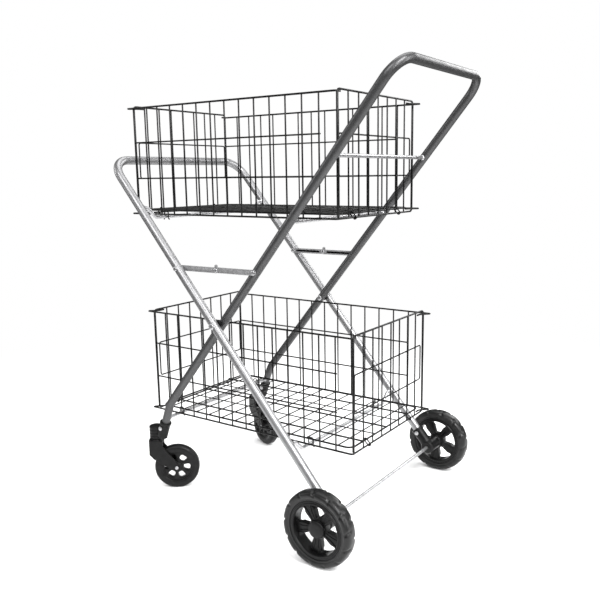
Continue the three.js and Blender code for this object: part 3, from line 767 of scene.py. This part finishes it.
def caster_outline(trail, hub_height, top):
    """Side view of a fork arm: straight down the front, then a wide arm back to the wheel's hub."""
    hub = (trail, hub_height)
    front = [(-16, top - 4), (-16, 88), (-7, 77), (trail - 12, hub_height - 5)]
    back = [(16, 106), (16, top - 4)]
    return flat(rounded([*front, *arc(hub, 9.5, -115, 50, 10), *back], 4, 3, closed=True))


def caster_fork(trail, hub_height, top):
    """Two arms, the round crown that joins them below the socket, and a plate across their front."""
    outline = caster_outline(trail, hub_height, top)
    arm_y = FORK_INSIDE + FORK_ARM / 2
    arms = [plate(outline, [], FORK_ARM, 0.8).shifted(y=s * arm_y) for s in (-1, 1)]
    h = CROWN_HEIGHT
    crown = lathe([(0, 0), (15, 0), (16.2, 1.2), (16.2, h - 1.5), (15, h), (0, h)], 48)
    crown = crown.moved(Matrix.Translation((0, 0, top - h)) @ UPRIGHT)
    side = FORK_INSIDE + FORK_ARM
    front = plate([(-side, 0), (side, 0), (side, 40), (-side, 40)], [], FORK_ARM, 1)
    front = front.moved(Matrix.Translation((-14, 0, 86)) @ Matrix.Rotation(math.radians(90), 4, "Z"))
    return moulded([*arms, crown, front], 0.8, 4, 0.4)


def caster_wheel(radius):
    """Tyre, web with oval lightening holes, and hub, on the Y axis."""
    half = CASTER_HALF_WIDTH
    tyre_profile = [(37, -half + 1), (38.5, -half), (radius - 6, -half), (radius - 2, -half + 1.6),
                    (radius, -half + 4.5)]
    outer = tyre_profile + [(r, -y) for r, y in reversed(tyre_profile)]
    rim = lathe(outer, 96, closed=True)
    holes = []
    for i in range(CASTER_HOLES):
        turn = Matrix.Rotation(2 * math.pi * (i + HOLE_TURN) / CASTER_HOLES, 2)
        opening = rounded(HOLE_OUTLINE, 5, 5, closed=True)
        holes.append([tuple(turn @ point.to_2d()) for point in opening])
    web = plate(arc((0, 0), 38, 0, 355, 71), holes, 12, 0.8)
    hub = lathe([(0, -half), (9, -half), (10.5, -half + 1.5), (10.5, half - 1.5), (9, half), (0, half)],
                40)
    step = lathe([(33.5, -7.2), (37.5, -8.6), (37.5, 8.6), (33.5, 7.2)], 96, closed=True)
    return joined([rim, web, hub, step])


def caster_socket(side):
    """Sleeve on the leg, barrel for the stem in front of it and the web between them."""
    y = INNER_LEG_Y
    low, _ = cad_box(f"caster_socket_{side}")
    swivel = joint_place(f"caster_swivel_{side}")
    sleeve_bottom = at_y(SOCKET_RIVET - LOWER_LEG * 25, y)
    sleeve_top = at_y(SOCKET_RIVET + LOWER_LEG * 15.5, y)
    sleeve = tilted_sleeve(sleeve_bottom, sleeve_top, 12.6)
    height = SOCKET_BARREL_HEIGHT
    profile = [(0, 0), (14.5, 0), (15.6, 1.5)]
    for k in range(1, 4):
        z = height * k / 4
        profile += [(15.4, z - 1.4), (14.6, z), (15.4, z + 1.4)]
    profile += [(15.8, height - 1.5), (14.5, height), (0, height)]
    barrel = lathe(profile, 48).moved(Matrix.Translation((swivel.x, y, low.z)) @ UPRIGHT)
    middle = (swivel.x + SOCKET_RIVET.x) / 2
    web = plate([(-16, 1), (16, 1), (16, height - 1), (-16, height - 1)], [], 16, 1.5)
    web = web.shifted(middle, y, low.z)
    part = moulded([sleeve, barrel, web], 0.8, 3, 0.45)
    return part if side == "right" else part.mirrored()


def add_casters():
    for side, s in SIDES:
        swivel = joint_place(f"caster_swivel_{side}")
        centre = joint_place(f"caster_wheel_spin_{side}")
        reach = Vector((centre.x - swivel.x, centre.y - swivel.y, 0))
        turn = Matrix.Rotation(math.atan2(reach.y, reach.x), 4, "Z")
        place = Matrix.Translation((swivel.x, swivel.y, 0)) @ turn
        _, fork_top = cad_box(f"caster_fork_{side}")
        fork = caster_fork(reach.length, centre.z, fork_top.z)
        piece(f"caster_fork_{side}_moulding", fork.moved(place), PLASTIC, f"caster_fork_{side}",
              [f"caster_fork_{side}"], 50)
        low, high = cad_box(f"caster_stem_{side}")
        stem = sweep([(0, 0, low.z), (0, 0, high.z)], STEM_RADIUS, 24).shifted(swivel.x, swivel.y)
        piece(f"caster_stem_{side}_pin", stem, ZINC, f"caster_fork_{side}", [f"caster_stem_{side}"])
        wheel = caster_wheel(centre.z).shifted(reach.length, 0, centre.z)
        piece(f"caster_wheel_{side}_tyre", wheel.moved(place), CASTER_RUBBER, f"caster_wheel_{side}",
              [f"caster_wheel_{side}"], 35)
        half = FORK_INSIDE + FORK_ARM + 0.3
        head = domed(4.2, 2.0)
        shank = sweep([(0, -half, 0), (0, half, 0)], 3, 16)
        bolt = joined([head.shifted(y=half), head.mirrored().shifted(y=-half), shank])
        bolt = bolt.shifted(reach.length, 0, centre.z).moved(place)
        piece(f"caster_bolt_{side}_head", bolt, ZINC, f"caster_fork_{side}", [f"caster_bolt_{side}"])
        piece(f"caster_socket_{side}_moulding", caster_socket(side), PLASTIC, "handle_frame",
              [f"caster_socket_{side}"], 50)


# ---- baskets ----
RIM_WIRE = 2.0
POST_RADIUS = 2.6
WALL_WIRE = 1.7
FLOOR_WIRE = 1.4
LINK_WIRE = 1.4
SIDE_WIRES = 13
END_WIRES = 7
FLOOR_LONG_WIRES = 5
TIP = 19
TIP_BEND = 2.2
PANEL_RISE = 8.5
PANEL_GAP = 8
RODS_BELOW = {"upper_basket": ("upper_front_rod",),
              "lower_basket": ("lower_front_rod", "lower_rear_rod")}
WIRE_SIDES = 10


def line(a, b, radius):
    return sweep([a, b], radius, WIRE_SIDES)


def loop(corners, radius, bend):
    return sweep(rounded(corners, bend, 5, closed=True), radius, WIRE_SIDES, closed=True)


def basket_edges(name):
    low, _ = cad_box(f"{name}_front_wall")
    _, high = cad_box(f"{name}_rear_wall")
    side_low, _ = cad_box(f"{name}_left_wall")
    front, rear = low.x + RIM_WIRE, high.x - RIM_WIRE
    bottom, top = side_low.z + RIM_WIRE, high.z - RIM_WIRE
    return front, rear, bottom, top, abs(side_low.y)


def side_wall(name, s):
    """Upright wires between a rim wire and a foot wire. Both end in a hairpin tip past one end wall. At
    the other end they turn the corner and run along that wall for a little."""
    front, rear, bottom, top, outer = basket_edges(name)
    y = s * (outer - RIM_WIRE)
    tip_end, plain_end = (front, rear) if s < 0 else (rear, front)
    rim, foot = (top - 4, bottom) if s < 0 else (top - 6.5, bottom + 6.5)
    parts = []
    for z in (rim, foot):
        half_way = Vector(((front + rear) / 2, y, z))
        tip = rounded([(tip_end, y - s * 34, z), (tip_end, y - s * 20, z), (tip_end + s * TIP, y, z),
                       half_way], TIP_BEND)
        corner = rounded([half_way, (plain_end, y, z), (plain_end, y - s * 15, z)], 6)
        parts.append(sweep(tip + corner[1:], RIM_WIRE, WIRE_SIDES))
    pitch = (rear - front) / (SIDE_WIRES + 1)
    last = rear - pitch
    for k in (1, 2):
        z = bottom + (top - bottom) * k / 3
        inner_y = y - s * (RIM_WIRE + WALL_WIRE - 0.7)
        parts.append(line((front, inner_y, z), (last + 1.5, inner_y, z), WALL_WIRE))
    for i in range(1, SIDE_WIRES + 1):
        x = front + pitch * i
        parts.append(line((x, y, foot - 1), (x, y, rim + 1), WALL_WIRE))
    return joined(parts)


def end_wall(name, x, s):
    """A closed frame with rounded corners, two posts, upright wires and a closed loop across its middle."""
    _, _, bottom, top, outer = basket_edges(name)
    half = outer - 2 * RIM_WIRE - POST_RADIUS + 0.8
    parts = [loop([(x, -half, bottom), (x, half, bottom), (x, half, top), (x, -half, top)], RIM_WIRE, 7)]
    for y in (-half, half):
        parts.append(line((x, y, bottom + 3), (x, y, top - 3), POST_RADIUS))
    pitch = 2 * half / (END_WIRES + 1)
    for i in range(1, END_WIRES + 1):
        y = -half + pitch * i
        parts.append(line((x, y, bottom), (x, y, top), WALL_WIRE))
    third = (top - bottom) / 3
    inner = x - s * (RIM_WIRE + WALL_WIRE - 1.3)
    side = half - 8
    middle = [(inner, -side, bottom + third), (inner, side, bottom + third), (inner, side, top - third),
              (inner, -side, top - third)]
    parts.append(loop(middle, WALL_WIRE - 0.1, 5))
    return joined(parts)


def tie_link(start, end):
    """An oval link round two parallel wires, in the plane across them."""
    along = (end - start).normalized()
    aside = along.cross(Vector((0, 1, 0)) if abs(along.y) < 0.1 else Vector((1, 0, 0)))
    reach = along * (RIM_WIRE + LINK_WIRE)
    width = aside * (RIM_WIRE + LINK_WIRE)
    corners = [start - reach - width, end + reach - width, end + reach + width, start - reach + width]
    return loop(corners, LINK_WIRE, 3.3)


def saddle(x, y, top, rod_z):
    """An upturned U of wire that sits astride the rod below the basket."""
    reach = ROD_RADIUS + LINK_WIRE + 0.4
    legs = [(x - reach - 3, y, rod_z - 7), (x - reach, y, rod_z - 3), (x - reach, y, top),
            (x + reach, y, top), (x + reach, y, rod_z - 3), (x + reach + 3, y, rod_z - 7)]
    return sweep(rounded(legs, 3.5, 4), LINK_WIRE, WIRE_SIDES)


def basket_floor(name):
    """A separate panel: a closed wire with rounded corners, cross wires over long wires, links that tie it
    to the end walls and saddles over the rods that carry it."""
    front, rear, bottom, _, outer = basket_edges(name)
    level = bottom + PANEL_RISE
    half = outer - 2 * RIM_WIRE - 7
    x0, x1 = front + PANEL_GAP, rear - PANEL_GAP
    edge = [(x0, -half, level), (x1, -half, level), (x1, half, level), (x0, half, level)]
    parts = [loop(edge, RIM_WIRE, 15)]
    pitch = (rear - front) / (SIDE_WIRES + 1)
    for i in range(1, SIDE_WIRES + 1):
        x = front + pitch * i
        parts.append(line((x, -half, level + 1), (x, half, level + 1), FLOOR_WIRE))
    for i in range(1, FLOOR_LONG_WIRES + 1):
        y = -half + 2 * half * i / (FLOOR_LONG_WIRES + 1)
        radius = RIM_WIRE if i % 2 else FLOOR_WIRE
        parts.append(line((x0, y, level - 1.5), (x1, y, level - 1.5), radius))
    for wall_x, panel_x in ((front, x0), (rear, x1)):
        for y in (-0.62 * half, 0.62 * half):
            parts.append(tie_link(Vector((wall_x, y, bottom)), Vector((panel_x, y, level))))
    for rod in RODS_BELOW[name]:
        low, high = cad_box(rod)
        for y in (-0.93 * half, 0.93 * half):
            parts.append(saddle((low.x + high.x) / 2, y, level - 2, low.z + ROD_RADIUS))
    return joined(parts)


def add_baskets():
    for name in ("upper_basket", "lower_basket"):
        front, rear, *_ = basket_edges(name)
        made = []
        for side, s in SIDES:
            made.append(piece(f"{name}_{side}_wall_wires", side_wall(name, s), WIRE_COAT, name,
                              [f"{name}_{side}_wall"], 60))
        for end, x, s in (("front", front, -1), ("rear", rear, 1)):
            made.append(piece(f"{name}_{end}_wall_wires", end_wall(name, x, s), WIRE_COAT, name,
                              [f"{name}_{end}_wall"], 60))
        made.append(piece(f"{name}_floor_wires", basket_floor(name), WIRE_COAT, name, [f"{name}_floor"], 60))
        for panel in made:
            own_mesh(panel)


# ---- floor, light and camera ----
FLOOR_REACH = 6
FADE_START = 0.45
FADE_END = 1.9


def add_floor():
    """A pale floor that fades into the white backdrop away from the object, in metres."""
    mesh = bpy.data.meshes.new("floor")
    reach = FLOOR_REACH
    corners = [(-reach, -reach, 0), (reach, -reach, 0), (reach, reach, 0), (-reach, reach, 0)]
    mesh.from_pydata(corners, [], [(0, 1, 2, 3)])
    floor = bpy.data.objects.new("floor", mesh)
    bpy.context.scene.collection.objects.link(floor)
    material = bpy.data.materials.new("pale_floor")
    material.use_nodes = True
    nodes, links = material.node_tree.nodes, material.node_tree.links
    shader = nodes["Principled BSDF"]
    shader.inputs["Base Color"].default_value = (0.92, 0.92, 0.92, 1)
    shader.inputs["Roughness"].default_value = 0.85
    shader.inputs["Specular IOR Level"].default_value = 0.1
    distance = nodes.new("ShaderNodeVectorMath")
    distance.operation = "LENGTH"
    links.new(nodes.new("ShaderNodeTexCoord").outputs["Object"], distance.inputs[0])
    fade = nodes.new("ShaderNodeMapRange")
    fade.interpolation_type = "SMOOTHSTEP"
    fade.inputs["From Min"].default_value = FADE_START
    fade.inputs["From Max"].default_value = FADE_END
    links.new(distance.outputs["Value"], fade.inputs["Value"])
    mix = nodes.new("ShaderNodeMixShader")
    links.new(fade.outputs["Result"], mix.inputs[0])
    links.new(shader.outputs[0], mix.inputs[1])
    links.new(nodes.new("ShaderNodeBsdfTransparent").outputs[0], mix.inputs[2])
    links.new(mix.outputs[0], nodes["Material Output"].inputs["Surface"])
    mesh.materials.append(material)


def softbox(name, place, aim, width, height, power):
    data = bpy.data.lights.new(name, "AREA")
    data.shape = "RECTANGLE"
    data.size = width
    data.size_y = height
    data.energy = power
    light = bpy.data.objects.new(name, data)
    light.location = place
    light.visible_camera = False
    light.rotation_mode = "QUATERNION"
    light.rotation_quaternion = (Vector(aim) - Vector(place)).to_track_quat("-Z", "Y")
    bpy.context.scene.collection.objects.link(light)


def add_lights():
    middle = (0, 0, 0.45)
    handle = (0.3, 0, 0.9)
    softbox("key", (0.3, -3.2, 3.4), middle, 2.2, 2.2, 95)
    softbox("strip", (2.9, -1.5, 2.2), middle, 0.35, 2.8, 70)
    softbox("side", (3.4, 1.2, 1.4), middle, 1.0, 2.4, 60)
    softbox("fill", (-3.4, -1.6, 1.8), middle, 1.6, 2.4, 35)
    softbox("top", (-0.3, 1.2, 4.2), middle, 3.0, 3.0, 90)
    softbox("back", (0.76, 2.9, 1.9), handle, 1.5, 1.4, 40)
    softbox("above", (2.6, -0.6, 3.0), handle, 1.2, 1.2, 110)
    world = bpy.data.worlds.new("studio")
    world.use_nodes = True
    nodes, links = world.node_tree.nodes, world.node_tree.links
    rays = nodes.new("ShaderNodeLightPath").outputs

    def backdrop(strength):
        shade = nodes.new("ShaderNodeBackground")
        shade.inputs["Color"].default_value = (1, 1, 1, 1)
        shade.inputs["Strength"].default_value = strength
        return shade.outputs[0]

    def choose(when, otherwise, chosen):
        mix = nodes.new("ShaderNodeMixShader")
        links.new(when, mix.inputs[0])
        links.new(otherwise, mix.inputs[1])
        links.new(chosen, mix.inputs[2])
        return mix.outputs[0]

    lit = choose(rays["Is Glossy Ray"], backdrop(0.5), backdrop(0.1))
    links.new(choose(rays["Is Camera Ray"], lit, backdrop(1.0)), nodes["World Output"].inputs["Surface"])
    bpy.context.scene.world = world
    bpy.context.scene.view_settings.view_transform = "Standard"


CAMERA_PLACE = (0.9421, -1.3114, 0.7432)
CAMERA_YAW = 33.96
CAMERA_PITCH = -10.21
CAMERA_ROLL = -0.69
CAMERA_LENS = 42.37
CAMERA_SHIFT = (-0.0316, 0.0035)


def add_camera():
    data = bpy.data.cameras.new("camera")
    data.sensor_width = 36
    data.lens = CAMERA_LENS
    data.shift_x, data.shift_y = CAMERA_SHIFT
    camera = bpy.data.objects.new("camera", data)
    turn = (Matrix.Rotation(math.radians(CAMERA_YAW), 4, "Z")
            @ Matrix.Rotation(math.radians(90 + CAMERA_PITCH), 4, "X")
            @ Matrix.Rotation(math.radians(CAMERA_ROLL), 4, "Z"))
    camera.matrix_world = Matrix.Translation(CAMERA_PLACE) @ turn
    bpy.context.scene.collection.objects.link(camera)
    bpy.context.scene.camera = camera


add_frames()
add_stays()
add_rear_wheels()
add_casters()
add_baskets()
add_floor()
add_lights()
add_camera()
